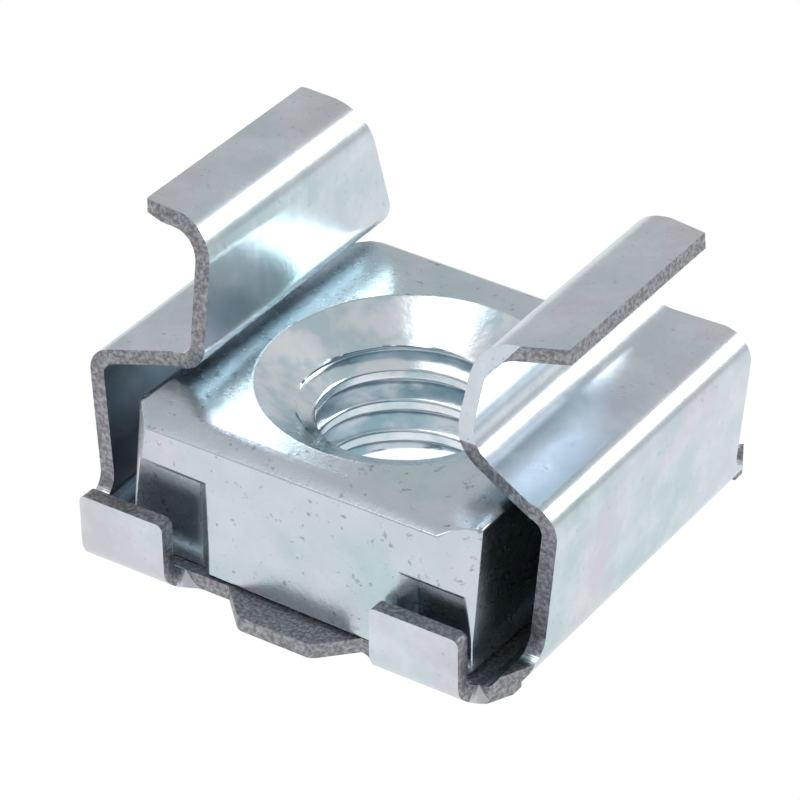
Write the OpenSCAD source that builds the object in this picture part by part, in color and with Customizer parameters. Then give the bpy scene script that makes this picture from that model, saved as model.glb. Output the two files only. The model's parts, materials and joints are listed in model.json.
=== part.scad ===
// Cage nut for square rack holes: a square nut that floats in a folded spring-steel cage.
// Origin: middle of the cage's base, on its underside. +Z points out of the cage, towards the panel.

/* [Sheet] */
// Thickness of the cage's spring-steel sheet
sheet_t = 0.45; // [0.35:0.05:0.6]
// Inner radius of the bends between base, walls and shelves
bend_r = 0.4; // [0.3:0.05:0.6]
// Inner radius of the tab bends
tab_bend_r = 0.3; // [0.2:0.05:0.5]

/* [Cage] */
// Width of the flat part of the base, between the two wall bends
base_w = 12.4; // [12:0.1:13]
// Front-to-back size of the base plate, between its straight edges
base_d = 13; // [12.6:0.1:13.6]
// Front-to-back size of the side walls
wall_d = 9.8; // [9:0.1:10.6]
// Straight height of the side walls, along the sheet
wall_h = 3.6; // [3.4:0.05:4.4]
// Front-to-back size of the sheet where the base has bent up into the walls
wall_root_d = 10.6; // [10.4:0.1:11]
// Radius of the curve between that place and the walls' straight edges
wall_root_r = 0.6; // [0.4:0.05:0.7]
// Height above the base's underside where the walls' straight edges begin
wall_root_z = 1.3; // [1.1:0.05:1.6]
// Diameter of the screw's clearance hole in the base
base_hole_d = 8.5; // [7.6:0.1:9.6]

/* [Tabs] */
// Width of each of the four upturned tabs
tab_w = 2.7; // [2:0.1:3]
// Distance between the two tabs of one side
tab_gap = 6.5; // [6.2:0.1:6.8]
// Height of the tabs above the underside of the base
tab_h = 2.2; // [1.6:0.1:2.8]
// Play between the nut's space and each tab
tab_play = 1.39; // [1.3:0.01:1.6]
// Radius of the fillets between the tabs' sides and the base's edge
tab_fillet_r = 0.8; // [0.5:0.05:0.9]
// Radius of the tabs' upper corners
tab_corner_r = 0.2; // [0.1:0.05:0.5]

/* [Carrier stub] */
// Width of the stub at its tip, where the blank was cut from its strip
stub_tip_w = 2.3; // [1.6:0.1:2.8]
// How far the stub stands out from the base's edge
stub_l = 0.95; // [0.4:0.05:1]
// Sideways place of the stub
stub_x = 0.4; // [-0.6:0.1:0.6]
// Radius of the stub's tip corners
stub_r = 0.4; // [0.2:0.05:0.5]

/* [Wing outline] */
// Front-to-back size of the wings at the neck, where they pass through the square hole
neck_d = 8.7; // [8:0.1:9.2]
// Front-to-back size of the wings under the lip
wing_top_d = 7.7; // [7:0.1:8.5]
// Front-to-back size of the lips at their tips
lip_tip_d = 6.6; // [5.8:0.1:7.5]

/* [Left wing] */
// Outward lean of the left wall, in degrees
left_splay = 2.5; // [0:0.5:6]
// Rise of the left shelf towards the nut, in degrees
left_shelf_rise = 8; // [4:1:14]
// Length of the left shelf
left_shelf_l = 1.88; // [1.6:0.02:2.1]
// Inner radius of the bend from the left shelf up into the wing
left_root_r = 0.45; // [0.35:0.05:1]
// Outward lean of the left wing, in degrees
left_wing_lean = 3; // [0:1:8]
// Straight length of the left wing
left_wing_l = 2.13; // [1.8:0.01:2.6]
// Inner radius of the left lip's curl
left_lip_r = 0.8; // [0.5:0.05:1.1]
// Rise of the left lip at its tip, in degrees
left_lip_rise = 3; // [0:1:10]
// Straight length of the left lip
left_lip_l = 1; // [0.6:0.05:1.6]

/* [Right wing] */
// Outward lean of the right wall, in degrees
right_splay = 5.5; // [0:0.5:7]
// Rise of the right shelf towards the nut, in degrees
right_shelf_rise = 12; // [8:1:16]
// Length of the right shelf
right_shelf_l = 1.5; // [1.2:0.02:1.8]
// Inner radius of the bend from the right shelf up into the wing
right_root_r = 0.95; // [0.5:0.05:1.2]
// Outward lean of the right wing, in degrees
right_wing_lean = 6; // [0:1:10]
// Straight length of the right wing
right_wing_l = 1.04; // [0.8:0.02:1.8]
// Inner radius of the right lip's curl
right_lip_r = 0.9; // [0.6:0.05:1.2]
// Rise of the right lip at its tip, in degrees
right_lip_rise = 6; // [0:1:10]
// Straight length of the right lip
right_lip_l = 1.37; // [0.8:0.05:1.7]

/* [Nut] */
// Side of the square nut
nut_s = 10.8; // [10.2:0.1:11]
// Height of the nut
nut_h = 4.4; // [3.6:0.1:4.4]
// Diameter of the threaded bore at the thread crests
thread_minor_d = 5; // [4:0.1:6]
// Outer diameter of the countersink on top
csk_top_d = 8.2; // [7.6:0.1:9]
// Outer diameter of the countersink underneath
csk_bottom_d = 6.4; // [6.1:0.1:7.4]
// Included angle of both countersinks, in degrees
csk_angle = 120; // [90:5:130]
// Leg of the sheared corner at the top of the nut
corner_top = 0.85; // [0.5:0.05:1.2]
// Leg of the sheared corner at the bottom of the nut
corner_bottom = 0.2; // [0.1:0.05:0.4]

/* [Nut edges] */
// Slope of the rolled top edges, in degrees
roll_slope = 24; // [15:1:40]
// Width of the rolled edge at the left end of the front
roll_left = 0.75; // [0.3:0.05:1]
// Width of the rolled edge at the right end of the front
roll_right = 0.3; // [0.1:0.05:0.6]
// Width of the rolled edge on the other three sides
roll_other = 0.3; // [0.1:0.05:0.6]
// Width of the small bevel along the bottom edges
bottom_bevel = 0.15; // [0.05:0.05:0.3]
// Width of the pad left of the bore's axis, between the pressed corners
pad_left = 2.7; // [2:0.1:3.6]
// Width of the pad right of the bore's axis
pad_right = 3.4; // [2:0.1:3.8]
// Height of the left pressed corner, up to its ledge
ledge_left_z = 3.05; // [2.4:0.05:3.4]
// Height of the right pressed corner, up to its ledge
ledge_right_z = 2.7; // [2.4:0.05:3.4]
// Depth of the pressed corners
press_depth = 0.35; // [0.15:0.05:0.6]
// Width of the sloped flank between pad and pressed corner
flank_w = 0.4; // [0.2:0.05:0.7]
// Height of the slope under the ledges
ledge_slope_h = 0.3; // [0.1:0.05:0.6]

/* [Nut's place in the cage] */
// How far the loose nut has slid sideways
nut_slide_x = 0.5; // [-0.5:0.1:0.5]
// How far the loose nut has slid forwards or back
nut_slide_y = -1.18; // [-1.18:0.02:1.18]
// Turn of the loose nut, in degrees
nut_turn = -1.2; // [-1.2:0.2:1.2]

/* [Hidden] */
$fn = 96;
bend_steps = 10; // flats that make up each bend
over = 1; // how far cutters pass the faces they cut
far = base_w; // a size that reaches past the whole part
bend_out_r = bend_r + sheet_t;
tab_face_y = nut_s / 2 + tab_play + sheet_t; // outer face of the tabs
tab_mid_x = (tab_gap + tab_w) / 2;
bend_y = tab_face_y - tab_bend_r - sheet_t; // where the tabs start to bend
tab_outer_x = tab_gap / 2 + tab_w;
stub_root_w = stub_tip_w + 2 * stub_l;
shelf_z = 2 * bend_out_r + wall_h;
neck_z = shelf_z + 0.75 * max(left_root_r, right_root_r);
wing_top_z = neck_z + max(left_wing_l, right_wing_l);
neck_x = 4.9; // the necks of both wings lie nearer the middle than this
lip_tip_x = 6.8; // and their tips about here

// Depth of a cone of the countersink's angle, from one diameter to another
function cone_h(from_d, to_d) = (from_d - to_d) / 2 / tan(csk_angle / 2);

// ---- Bent strip, drawn edge-on ----
// A strip is a list of steps along its lower face: [length, 0] runs straight on, and
// [inner radius, angle] bends it, up for a positive angle and down for a negative one.

function forward(heading) = [cos(heading), sin(heading)];
function upward(heading) = [-sin(heading), cos(heading)];

function bend_points(p, heading, r, turn) =
    let (centre = p + sign(turn) * r * upward(heading))
    [for (k = [1 : bend_steps])
        let (h = heading + turn * k / bend_steps) [centre - sign(turn) * r * upward(h), h]];

// Points of the lower face, each with the strip's heading there
function trace(steps, at, i = 0) = i == len(steps) ? [] :
    let (size = steps[i][0], turn = steps[i][1], p = at[0], heading = at[1],
         face_r = turn > 0 ? size + sheet_t : size,
         part = turn == 0 ? [[p + size * forward(heading), heading]] : bend_points(p, heading, face_r, turn))
    concat(part, trace(steps, part[len(part) - 1], i + 1));

function lower_face(traced) = [for (q = traced) q[0]];
function upper_face(traced) = [for (q = traced) q[0] + sheet_t * upward(q[1])];
function reversed(points) = [for (i = [len(points) - 1 : -1 : 0]) points[i]];
function mirrored(points) = [for (p = points) [-p[0], p[1]]];

// Half of the cage's section, from the middle of the base to the tip of a lip
function half_strip(splay, shelf_rise, shelf_l, root_r, wing_lean, wing_l, lip_r, lip_rise, lip_l) =
    trace([[base_w / 2, 0], [bend_r, 90 - splay],
           [wall_h, 0], [bend_r, 90 + splay - shelf_rise],
           [shelf_l, 0], [root_r, shelf_rise - wing_lean - 90],
           [wing_l, 0], [lip_r, wing_lean + lip_rise - 90],
           [lip_l, 0]], [[0, 0], 0]);

module cage_section() {
    right = half_strip(right_splay, right_shelf_rise, right_shelf_l, right_root_r, right_wing_lean,
                       right_wing_l, right_lip_r, right_lip_rise, right_lip_l);
    left = half_strip(left_splay, left_shelf_rise, left_shelf_l, left_root_r, left_wing_lean,
                      left_wing_l, left_lip_r, left_lip_rise, left_lip_l);
    polygon(concat(lower_face(right), reversed(upper_face(right)),
                   mirrored(upper_face(left)), reversed(mirrored(lower_face(left)))));
}

// Section of one tab: out under the base's edge, round its bend and up
module tab_section() {
    tab = trace([[over, 0], [tab_bend_r, 90], [tab_h - tab_bend_r - sheet_t, 0]], [[bend_y - over, 0], 0]);
    start = [[bend_y - over, sheet_t], [bend_y - over, 0]];
    polygon(concat(start, lower_face(tab), reversed(upper_face(tab))));
}

// ---- Outline of the sheet ----

// Turns a drawing in Y and Z into one that extends along X
module along_x() rotate([90, 0, 90]) children();

// What lies beyond the edge of the walls and wings, seen from the side
module beside_walls() {
    wing_slope = (wing_top_d - neck_d) / 2 / (wing_top_z - neck_z);
    translate([wall_d / 2 + wall_root_r, wall_root_z]) circle(wall_root_r);
    translate([wall_d / 2 + wall_root_r, wall_root_z - wall_root_r]) square([far, far]);
    polygon([[wall_d / 2, wall_root_z], [wall_d / 2, neck_z], [neck_d / 2, neck_z],
             [neck_d / 2 + wing_slope * far, neck_z + far], [2 * far, neck_z + far], [2 * far, wall_root_z]]);
}

// What lies beyond the line through two points and on past the second, seen from above
module beyond_line(from, to) {
    far_y = from[1] + (far - from[0]) * (to[1] - from[1]) / (to[0] - from[0]);
    polygon([from, [far, far_y], [far, 2 * far], [from[0], 2 * far]]);
}

// Trims one side of the sheet, at one end, to the outline of its wall, shelf, wing and lip
module wing_cutter() {
    translate([-far, 0, 0]) along_x() linear_extrude(2 * far) beside_walls();
    translate([0, 0, shelf_z - bend_out_r]) linear_extrude(far) {
        translate([-over, neck_d / 2]) square([over + neck_x, far]);
        beyond_line([neck_x, neck_d / 2], [base_w / 2 + bend_r, wall_d / 2]);
    }
    translate([0, 0, wing_top_z]) linear_extrude(far)
        beyond_line([neck_x, wing_top_d / 2], [lip_tip_x, lip_tip_d / 2]);
}

// Trims one corner of the base, from the tab to the wall
module base_corner_cutter() translate([0, 0, -over]) linear_extrude(over + wall_root_z)
    beyond_line([tab_outer_x, tab_face_y + tab_corner_r], [base_w / 2 + bend_out_r, wall_root_d / 2]);

// ---- Base plate and tabs ----

// Trapezoid left where the blank was cut from its strip
module stub_2d() hull() {
    translate([0, -over / 2]) square([stub_root_w, over], center = true);
    for (side = [-1, 1])
        translate([side * (stub_tip_w / 2 - stub_r * tan(22.5)), stub_l - stub_r]) circle(stub_r, $fn = 32);
}

// The tabs widen where they bend, in a curve square to the sheet at the middle of the bend
module tab() {
    root_w = tab_w + 2 * tab_fillet_r;
    difference() {
        translate([-root_w / 2, 0, 0]) along_x() linear_extrude(root_w) tab_section();
        for (side = [0, 1]) mirror([side, 0, 0]) {
            translate([tab_w / 2 + tab_fillet_r, bend_y, 0]) rotate([45, 0, 0]) linear_extrude(2 * tab_h, center = true) {
                translate([0, tab_fillet_r]) circle(tab_fillet_r);
                translate([-tab_fillet_r, tab_fillet_r]) square([2 * tab_fillet_r, 3 * tab_h]);
            }
            translate([tab_w / 2 - tab_corner_r, tab_face_y - sheet_t - over, tab_h - tab_corner_r])
                rotate([90, 0, 0]) mirror([0, 0, 1]) linear_extrude(sheet_t + 2 * over) difference() {
                    square(2 * tab_corner_r);
                    circle(tab_corner_r);
                }
        }
    }
}

// Repeats a shape at both sides and both ends of the cage
module at_corners() for (end = [0, 1], side = [0, 1]) mirror([0, end, 0]) mirror([side, 0, 0]) children();

module cage() color("lightsteelblue") difference() {
    union() {
        difference() {
            rotate([90, 0, 0]) linear_extrude(base_d, center = true) cage_section();
            at_corners() wing_cutter();
        }
        for (end = [0, 1]) mirror([0, end, 0])
            translate([stub_x, base_d / 2, 0]) linear_extrude(sheet_t) stub_2d();
        at_corners() translate([tab_mid_x, 0, 0]) tab();
    }
    at_corners() base_corner_cutter();
    translate([0, 0, -over]) cylinder(d = base_hole_d, h = sheet_t + 2 * over);
}

// ---- Square nut ----

// Everything beyond one sheared corner, which leans inwards towards the top
module corner_cutter() {
    lean = atan((corner_top - corner_bottom) / sqrt(2) / nut_h);
    translate([(nut_s - corner_bottom) / sqrt(2), 0, 0]) rotate([0, -lean, 0])
        translate([0, -nut_s / 2, -over]) cube([nut_s, nut_s, 2 * nut_h]);
}

// Everything above the rolled edge of the front; its width runs from left to right
module roll_cutter(left, right) {
    translate([0, -nut_s / 2 + (left + right) / 2, nut_h])
        rotate([0, 0, -atan((left - right) / nut_s)]) rotate([roll_slope, 0, 0])
            translate([-nut_s, -nut_s, 0]) cube([2 * nut_s, nut_s, nut_s]);
}

// What is pressed back from one front corner, right of the axis: under a ledge and beside the pad
module press_cutter(pad_w, ledge_z) intersection() {
    face = -nut_s / 2;
    translate([0, 0, -over]) linear_extrude(nut_h)
        polygon([[pad_w, face - over], [pad_w, face], [pad_w + flank_w, face + press_depth],
                 [nut_s, face + press_depth], [nut_s, face - over]]);
    along_x() linear_extrude(nut_s)
        polygon([[face - over, -over], [face - over, ledge_z], [face, ledge_z],
                 [face + press_depth, ledge_z - ledge_slope_h], [face + press_depth, -over]]);
}

module square_nut() color("slategray") translate([nut_slide_x, nut_slide_y, sheet_t]) rotate(nut_turn)
    difference() {
        translate([-nut_s / 2, -nut_s / 2, 0]) cube([nut_s, nut_s, nut_h]);
        for (a = [45 : 90 : 315]) rotate(a) corner_cutter();
        roll_cutter(roll_left, roll_right);
        for (a = [90 : 90 : 270]) rotate(a) roll_cutter(roll_other, roll_other);
        for (a = [0 : 90 : 270]) rotate(a) translate([0, -nut_s / 2, 0]) rotate([45, 0, 0])
            cube([2 * nut_s, sqrt(2) * bottom_bevel, sqrt(2) * bottom_bevel], center = true);
        for (turn = [0, 180]) rotate(turn) {
            press_cutter(pad_right, ledge_right_z);
            mirror([1, 0, 0]) press_cutter(pad_left, ledge_left_z);
        }
        translate([0, 0, -over]) cylinder(d = thread_minor_d, h = nut_h + 2 * over);
        csk_top_h = cone_h(csk_top_d, thread_minor_d);
        translate([0, 0, nut_h - csk_top_h]) cylinder(d1 = thread_minor_d, d2 = csk_top_d, h = csk_top_h);
        cylinder(d1 = csk_bottom_d, d2 = thread_minor_d, h = cone_h(csk_bottom_d, thread_minor_d));
    }

cage();
square_nut();
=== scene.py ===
"""Looks of a rack cage nut: bright zinc plate on a folded sheet cage and on a sheared square nut."""
import json
from math import cos, pi, radians, sin, tan

import bmesh
import bpy
from mathutils import Matrix, Vector
from mathutils.bvhtree import BVHTree


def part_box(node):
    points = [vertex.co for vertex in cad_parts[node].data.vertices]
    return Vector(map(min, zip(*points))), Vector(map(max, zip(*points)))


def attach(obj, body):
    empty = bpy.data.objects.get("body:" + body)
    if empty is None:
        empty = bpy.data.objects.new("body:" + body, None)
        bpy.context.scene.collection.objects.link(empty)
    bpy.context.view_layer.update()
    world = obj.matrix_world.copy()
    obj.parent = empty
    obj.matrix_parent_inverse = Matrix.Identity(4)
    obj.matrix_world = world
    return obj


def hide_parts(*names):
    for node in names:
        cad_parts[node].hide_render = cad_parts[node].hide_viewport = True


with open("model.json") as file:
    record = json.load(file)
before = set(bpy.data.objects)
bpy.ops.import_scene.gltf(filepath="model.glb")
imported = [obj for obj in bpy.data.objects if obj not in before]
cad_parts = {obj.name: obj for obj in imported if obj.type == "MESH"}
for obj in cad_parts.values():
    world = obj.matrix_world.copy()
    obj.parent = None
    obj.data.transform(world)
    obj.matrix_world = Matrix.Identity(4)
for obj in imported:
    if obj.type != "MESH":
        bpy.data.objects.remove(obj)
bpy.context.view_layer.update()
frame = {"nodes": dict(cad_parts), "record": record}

MM = 0.001

# ---- Sizes that the looks share with the model, in metres ----

SHEET_T = 0.45 * MM
BORE_R = 2.5 * MM             # thread crests
THREAD_MAJOR_R = 3.05 * MM
PITCH = 1.0 * MM
CSK_TOP_R = 4.1 * MM
CSK_BOTTOM_R = 3.2 * MM
CSK_ANGLE = radians(120)

NUT_BOTTOM, NUT_TOP = (corner[2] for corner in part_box("square_nut"))
CAGE_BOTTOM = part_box("cage")[0][2]
thread_mount = next(m for m in frame["record"]["mounts"] if m["name"] == "thread")
AXIS_X, AXIS_Y = thread_mount["pos_m"][:2]

# ---- Sizes of the fine work on the meshes ----

MERGE = 0.0005 * MM           # points nearer than this are one point
FLAT_ANGLE = radians(0.4)     # faces that meet at less than this are one face
SHEET_EDGE_R = 0.035 * MM     # width of the small bevel on the sheet's edges
NUT_EDGE_R = 0.05 * MM        # and on the nut's
BEVEL_ANGLE = radians(25)     # edges sharper than this get the bevel
SHARP_ANGLE = radians(35)     # edges sharper than this aren't shaded smooth
SKIN = 0.005 * MM             # how much the thread cutter takes off the bore's walls
CUTTER_REACH = 0.6 * MM       # how far the cutter stands out of the nut at both ends
CUTTER_WELD = 0.001 * MM      # its points nearer than this are one point
THREAD_STEPS = 120            # points round one turn of the thread
PITCH_ROWS = 24               # rows of points along one pitch

# ---- Stage and camera ----

FLOOR_SIZE = 2.0
FLOOR_GAP = 0.002 * MM
SKY_IN_REFLECTIONS = 0.62
SKY_ON_SURFACES = 0.8
FLOOR_GREY = (0.8, 0.8, 0.8, 1)
WHITE = (1, 1, 1, 1)

CAMERA_AZIMUTH, CAMERA_ELEVATION, CAMERA_ROLL = radians(33.742), radians(33.678), radians(-0.595)
CAMERA_DISTANCE = 107.315 * MM
CAMERA_TARGET = (0, 0, 3 * MM)
CAMERA_SHIFT = (-0.0228, 0.0114)
LENS_MM, SENSOR_MM = 180, 36


# ---- Shader maths ----

class Val:
    """A shader socket that takes part in Python expressions."""

    def __init__(self, tree, socket):
        self.tree, self.socket = tree, socket

    def math(self, operation, *others, clamp=False):
        node = self.tree.nodes.new("ShaderNodeMath")
        node.operation = operation
        node.use_clamp = clamp
        for socket, value in zip(node.inputs, (self, *others)):
            plug(self.tree, socket, value)
        return Val(self.tree, node.outputs[0])

    def __add__(self, other):
        return self.math("ADD", other)

    def __radd__(self, other):
        return self.math("ADD", other)

    def __sub__(self, other):
        return self.math("SUBTRACT", other)

    def __rsub__(self, other):
        return (self * -1) + other

    def __mul__(self, other):
        return self.math("MULTIPLY", other)

    def __rmul__(self, other):
        return self.math("MULTIPLY", other)

    def clamp(self):
        return self.math("ADD", 0.0, clamp=True)

    def max(self, other):
        return self.math("MAXIMUM", other)

    def ramp(self, low, high):
        """0 below low, 1 above high, and smooth between."""
        t = ((self - low) * (1 / (high - low))).clamp()
        return t * t * (3 - 2 * t)


def plug(tree, socket, value):
    """Links a shader value to a socket, or sets the socket to a plain number or colour."""
    if isinstance(value, Val):
        tree.links.new(value.socket, socket)
    else:
        socket.default_value = value


class Shader:
    """A material under construction, with coordinates in millimetres."""

    def __init__(self, name):
        self.material, self.tree = empty_material(name)
        position = self.node("ShaderNodeTexCoord", {}, {}, out="Object")
        scaled = {0: position, "Scale": 1 / MM}
        self.place = self.node("ShaderNodeVectorMath", {"operation": "SCALE"}, scaled)
        self.x, self.y, self.z = self.split(self.place)

    def node(self, kind, settings, inputs, out=0):
        node = self.tree.nodes.new(kind)
        for key, value in settings.items():
            setattr(node, key, value)
        for key, value in inputs.items():
            plug(self.tree, node.inputs[key], value)
        return Val(self.tree, node.outputs[out])

    def split(self, vector):
        node = self.tree.nodes.new("ShaderNodeSeparateXYZ")
        plug(self.tree, node.inputs[0], vector)
        return [Val(self.tree, socket) for socket in node.outputs]

    def mix(self, factor, a, b):
        """Mixes two colours."""
        node = self.tree.nodes.new("ShaderNodeMix")
        node.data_type = "RGBA"
        node.clamp_factor = True
        plug(self.tree, node.inputs[0], factor)
        color_inputs, color_output = node.inputs[6:8], node.outputs[2]
        for socket, value in zip(color_inputs, (a, b)):
            plug(self.tree, socket, value if isinstance(value, Val) else (*value, 1))
        return Val(self.tree, color_output)

    def noise(self, scale, detail=3.0, rough=0.55, seed=0.0, place=None):
        """Noise with scale patches per millimetre; the seed moves to another part of the pattern."""
        where = self.place if place is None else place
        away = (seed, 1.7 * seed, -seed)
        moved = self.node("ShaderNodeVectorMath", {"operation": "ADD"}, {0: where, 1: away})
        look = {"Vector": moved, "Scale": scale, "Detail": detail, "Roughness": rough}
        return self.node("ShaderNodeTexNoise", {}, look)

    def stretched(self, along_x, along_y, along_z):
        """Coordinates for a pattern that is drawn out where the number is small."""
        parts = {"X": self.x * along_x, "Y": self.y * along_y, "Z": self.z * along_z}
        return self.node("ShaderNodeCombineXYZ", {}, parts)

    def finish(self, color, rough, height, depth_mm):
        """Closes a metal material; height is 0 to 1 and stands for depth_mm of relief."""
        relief = {"Strength": 1.0, "Distance": depth_mm * MM, "Height": height}
        bump = self.node("ShaderNodeBump", {}, relief)
        bsdf = self.tree.nodes.new("ShaderNodeBsdfPrincipled")
        plug(self.tree, bsdf.inputs["Base Color"], color)
        plug(self.tree, bsdf.inputs["Roughness"], rough)
        plug(self.tree, bsdf.inputs["Metallic"], 1.0)
        plug(self.tree, bsdf.inputs["Normal"], bump)
        output = self.tree.nodes.new("ShaderNodeOutputMaterial")
        self.tree.links.new(bsdf.outputs[0], output.inputs["Surface"])
        return self.material


def empty_material(name):
    """A new material without nodes, and its node tree."""
    material = bpy.data.materials.new(name)
    material.use_nodes = True
    material.node_tree.nodes.clear()
    return material, material.node_tree


# ---- Materials ----

STEEL_BLUE = (0.60, 0.66, 0.72)
TEAL = (0.50, 0.62, 0.65)
ROSE = (0.66, 0.60, 0.66)
PALE = (0.78, 0.83, 0.87)
NAVY = (0.10, 0.13, 0.18)
SKY_BLUE = (0.55, 0.68, 0.74)
TORN_DARK = (0.20, 0.19, 0.21)
TORN_PALE = (0.42, 0.45, 0.48)


def plated(s, seed, pale=0.5):
    """Colour of bright zinc plate: steel blue that drifts to teal and rose, with pale clouds."""
    drift = s.noise(0.22, 2.0, 0.5, seed).ramp(0.42, 0.62)
    blush = s.noise(0.3, 2.0, 0.5, seed + 5).ramp(0.55, 0.68)
    clouds = s.noise(0.8, 4.0, 0.6, seed + 9).ramp(0.35, 0.75)
    color = s.mix(drift, STEEL_BLUE, TEAL)
    color = s.mix(blush * 0.6, color, ROSE)
    return s.mix(clouds * pale, color, PALE)


def sheet_zinc():
    """The sheet's plated faces, with scuffs square to the bends."""
    s = Shader("sheet_zinc")
    color = plated(s, 0.0)
    hatch = s.noise(1.0, 2.0, 0.6, 3, s.stretched(0.35, 9, 0.35)).ramp(0.5, 0.66)
    speckle = s.noise(7, 3.0, 0.6, 21)
    color = s.mix(speckle.ramp(0.62, 0.75) * 0.3, color, NAVY)
    rough = 0.2 + 0.1 * s.noise(1.5, 3.0, 0.6, 31)
    height = speckle * 0.25 + hatch * 0.2
    return s.finish(color, rough, height, 0.004)


def sheared_edge():
    """The sheet's cut edges: brown-grey and torn, with some plate over them."""
    s = Shader("sheared_edge")
    tear = s.noise(9, 4.0, 0.6, 2)
    color = s.mix(tear.ramp(0.35, 0.7), TORN_DARK, TORN_PALE)
    return s.finish(color, 0.4, tear, 0.02)


def nut_zinc():
    """The nut's plated faces, with dark pits."""
    s = Shader("nut_zinc")
    color = plated(s, 40.0, 0.3)
    pits = s.noise(3.2, 4.0, 0.6, 50).ramp(0.60, 0.70)
    color = s.mix(pits * 0.5, color, NAVY)
    rough = 0.22 + 0.1 * s.noise(1.5, 3.0, 0.6, 61)
    return s.finish(color, rough, s.noise(5, 4.0, 0.6, 70), 0.006)


def thread_zinc():
    """The thread and both countersinks: paler and bluer than the nut's flat faces."""
    s = Shader("thread_zinc")
    color = s.mix(s.noise(0.8, 3.0, 0.5, 80).ramp(0.4, 0.6), SKY_BLUE, PALE)
    return s.finish(color, 0.2, s.noise(4, 3.0, 0.5, 90), 0.006)


def stage_white():
    """White to the camera and in reflections; the object keeps a faint shadow on it."""
    material, tree = empty_material("stage_white")
    emission = tree.nodes.new("ShaderNodeEmission")
    emission.inputs["Color"].default_value = WHITE
    diffuse = tree.nodes.new("ShaderNodeBsdfDiffuse")
    diffuse.inputs["Color"].default_value = FLOOR_GREY
    mixer = tree.nodes.new("ShaderNodeMixShader")
    seen, mirrored = seen_and_mirrored(tree)
    plug(tree, mixer.inputs[0], seen.max(mirrored))
    tree.links.new(diffuse.outputs[0], mixer.inputs[1])
    tree.links.new(emission.outputs[0], mixer.inputs[2])
    output = tree.nodes.new("ShaderNodeOutputMaterial")
    tree.links.new(mixer.outputs[0], output.inputs["Surface"])
    return material


def seen_and_mirrored(tree):
    """1 for rays that look straight at a surface, and 1 for rays that glossy surfaces send."""
    path = tree.nodes.new("ShaderNodeLightPath")
    seen = Val(tree, path.outputs["Is Camera Ray"]).max(Val(tree, path.outputs["Is Transmission Ray"]))
    return seen, Val(tree, path.outputs["Is Glossy Ray"])


# ---- Meshes ----

def new_object(name, bm, materials):
    """An object made of a bmesh, which is used up."""
    mesh = bpy.data.meshes.new(name)
    bm.to_mesh(mesh)
    bm.free()
    for material in materials:
        mesh.materials.append(material)
    piece = bpy.data.objects.new(name, mesh)
    bpy.context.collection.objects.link(piece)
    return piece


def merged_copy(node):
    """A copy of a CAD node's mesh with its triangles joined into whole faces."""
    bm = bmesh.new()
    bm.from_mesh(frame["nodes"][node].data)
    bmesh.ops.remove_doubles(bm, verts=bm.verts, dist=MERGE)
    bmesh.ops.dissolve_limit(bm, angle_limit=FLAT_ANGLE, verts=bm.verts, edges=bm.edges)
    for face in bm.faces:
        face.smooth = True
    return bm


def apply_modifiers(piece):
    depsgraph = bpy.context.evaluated_depsgraph_get()
    mesh = bpy.data.meshes.new_from_object(piece.evaluated_get(depsgraph))
    piece.modifiers.clear()
    piece.data = mesh


def soften(piece, width):
    """Rounds a piece's edges a little, so that they catch the light."""
    bevel = piece.modifiers.new("edges", "BEVEL")
    bevel.width = width
    bevel.segments = 2
    bevel.limit_method = "ANGLE"
    bevel.angle_limit = BEVEL_ANGLE
    bevel.use_clamp_overlap = True
    weighted = piece.modifiers.new("normals", "WEIGHTED_NORMAL")
    weighted.keep_sharp = True
    weighted.weight = 60
    apply_modifiers(piece)


def stand_for(piece, node):
    """Puts a piece in the place of its CAD node."""
    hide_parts(node)
    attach(piece, "root")


def mark_cut_edges(bm):
    """Gives the sheet's cut edges the second material: the metal behind them is deeper than the sheet."""
    inset, farthest, deepest_sheet = 0.01 * MM, 10 * MM, 1.4 * SHEET_T
    tree = BVHTree.FromBMesh(bm)
    for face in bm.faces:
        start = face.calc_center_median() - face.normal * inset
        behind = tree.ray_cast(start, -face.normal, farthest)[3]
        if behind is None or behind > deepest_sheet:
            face.material_index = 1


def make_cage():
    bm = merged_copy("cage")
    mark_cut_edges(bm)
    piece = new_object("cage_sheet", bm, [sheet_zinc(), sheared_edge()])
    soften(piece, SHEET_EDGE_R)
    stand_for(piece, "cage")


def thread_profile(turn):
    """Radius of an internal ISO thread at a share of one pitch: crest, flank, root, flank."""
    crest, root = 1 / 4, 1 / 8
    flank = (1 - crest - root) / 2
    if turn < crest:
        rise = 0.0
    elif turn < crest + flank:
        rise = (turn - crest) / flank
    elif turn < crest + flank + root:
        rise = 1.0
    else:
        rise = (1 - turn) / flank
    return BORE_R + SKIN + (THREAD_MAJOR_R - BORE_R) * rise


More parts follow.
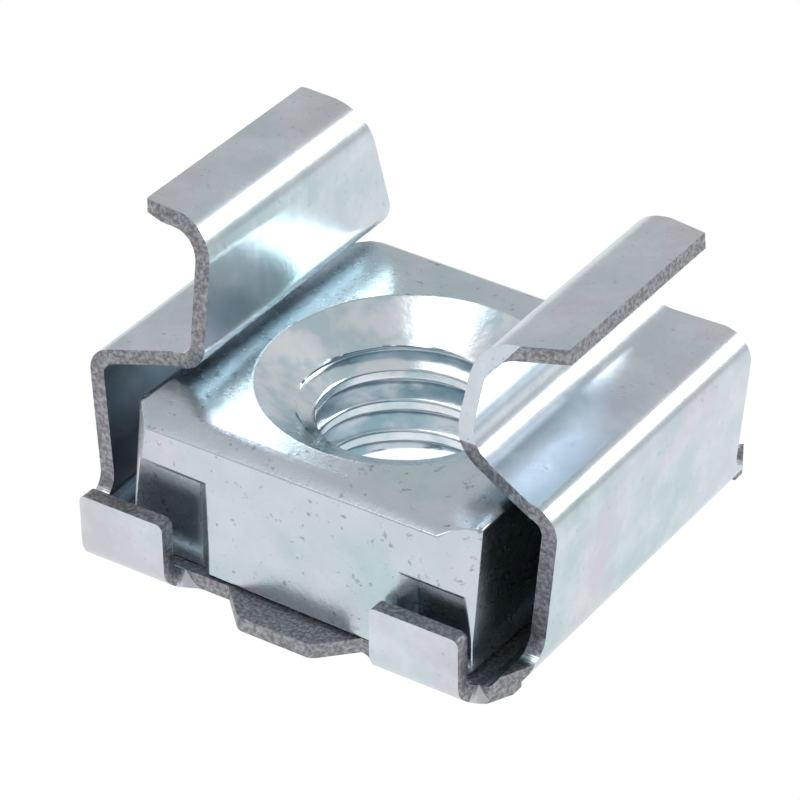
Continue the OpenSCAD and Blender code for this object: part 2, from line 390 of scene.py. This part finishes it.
def thread_cutter():
    """A tap with both countersinks on it: rows of points follow the helix."""
    slope = tan(CSK_ANGLE / 2)
    low, high = NUT_BOTTOM - CUTTER_REACH, NUT_TOP + CUTTER_REACH
    rows = int((high - low) / PITCH * PITCH_ROWS) + 2 * PITCH_ROWS
    bm = bmesh.new()

    def point(i, row):
        angle = 2 * pi * i / THREAD_STEPS
        z = min(max(low + PITCH * (row / PITCH_ROWS - 1 + i / THREAD_STEPS), low), high)
        thread = thread_profile(row % PITCH_ROWS / PITCH_ROWS)
        top_cone = CSK_TOP_R + (z - NUT_TOP) * slope
        bottom_cone = CSK_BOTTOM_R + (NUT_BOTTOM - z) * slope
        r = max(thread, top_cone + SKIN, bottom_cone + SKIN)
        return bm.verts.new((AXIS_X + r * cos(angle), AXIS_Y + r * sin(angle), z))

    grid = [[point(i, row) for row in range(rows + 1)] for i in range(THREAD_STEPS)]
    for i in range(THREAD_STEPS):
        for row in range(rows):
            if i < THREAD_STEPS - 1:
                after, above = grid[i + 1][row], grid[i + 1][row + 1]
            elif row + 1 + PITCH_ROWS <= rows:
                after, above = grid[0][row + PITCH_ROWS], grid[0][row + 1 + PITCH_ROWS]
            else:
                continue
            bm.faces.new((grid[i][row], after, above, grid[i][row + 1]))
    bmesh.ops.remove_doubles(bm, verts=bm.verts, dist=CUTTER_WELD)
    bmesh.ops.dissolve_degenerate(bm, dist=MERGE, edges=bm.edges)
    bmesh.ops.holes_fill(bm, edges=[e for e in bm.edges if e.is_boundary], sides=0)
    bmesh.ops.recalc_face_normals(bm, faces=bm.faces)
    return bm


def make_nut():
    materials = [nut_zinc(), thread_zinc()]
    body = new_object("nut_body", merged_copy("square_nut"), materials)
    soften(body, NUT_EDGE_R)
    bm = thread_cutter()
    for face in bm.faces:
        face.material_index = 1
        face.smooth = True
    tap = new_object("tap", bm, materials)
    cut = body.modifiers.new("thread", "BOOLEAN")
    cut.operation = "DIFFERENCE"
    cut.solver = "EXACT"
    cut.object = tap
    apply_modifiers(body)
    bpy.data.objects.remove(tap)
    body.data.set_sharp_from_angle(angle=SHARP_ANGLE)
    stand_for(body, "square_nut")


# ---- Stage ----

def make_floor():
    bpy.ops.mesh.primitive_plane_add(size=FLOOR_SIZE, location=(0, 0, CAGE_BOTTOM - FLOOR_GAP))
    floor = bpy.context.object
    floor.name = "floor"
    floor.data.materials.append(stage_white())


def make_world():
    """A white sky to the camera, and a greyer one in reflections and on surfaces."""
    world = bpy.data.worlds.new("studio")
    bpy.context.scene.world = world
    world.use_nodes = True
    tree = world.node_tree
    background = tree.nodes["Background"]
    seen, mirrored = seen_and_mirrored(tree)
    in_view = seen + mirrored * SKY_IN_REFLECTIONS
    on_surfaces = SKY_ON_SURFACES - SKY_ON_SURFACES * seen.max(mirrored)
    plug(tree, background.inputs["Strength"], in_view.max(on_surfaces))
    background.inputs["Color"].default_value = WHITE


def softbox(name, direction, distance, width, height, energy):
    light = bpy.data.lights.new(name, "AREA")
    light.shape = "RECTANGLE"
    light.size, light.size_y = width, height
    light.energy = energy
    lamp = bpy.data.objects.new(name, light)
    away = Vector(direction).normalized()
    lamp.location = away * distance
    lamp.rotation_euler = away.to_track_quat("Z", "Y").to_euler()
    bpy.context.collection.objects.link(lamp)


def make_lights():
    softbox("back_right", (0.5, 0.69, 0.5), 0.4, 0.16, 0.12, 0.5)
    softbox("above", (-0.2, -0.3, 1.0), 0.5, 0.3, 0.3, 0.5)


def make_camera():
    around, rise = CAMERA_AZIMUTH, CAMERA_ELEVATION
    back = Vector((sin(around) * cos(rise), -cos(around) * cos(rise), sin(rise)))
    right = Vector((cos(around), sin(around), 0))
    up = back.cross(right)
    turned_right = right * cos(CAMERA_ROLL) + up * sin(CAMERA_ROLL)
    turned_up = up * cos(CAMERA_ROLL) - right * sin(CAMERA_ROLL)
    data = bpy.data.cameras.new("camera")
    data.lens = LENS_MM
    data.sensor_width = SENSOR_MM
    data.clip_start = 1 * MM
    data.shift_x, data.shift_y = CAMERA_SHIFT
    camera = bpy.data.objects.new("camera", data)
    matrix = Matrix((turned_right, turned_up, back)).transposed().to_4x4()
    matrix.translation = Vector(CAMERA_TARGET) + back * CAMERA_DISTANCE
    camera.matrix_world = matrix
    bpy.context.collection.objects.link(camera)
    bpy.context.scene.camera = camera


bpy.context.scene.view_settings.view_transform = "Standard"
make_camera()
make_floor()
make_world()
make_lights()
make_cage()
make_nut()
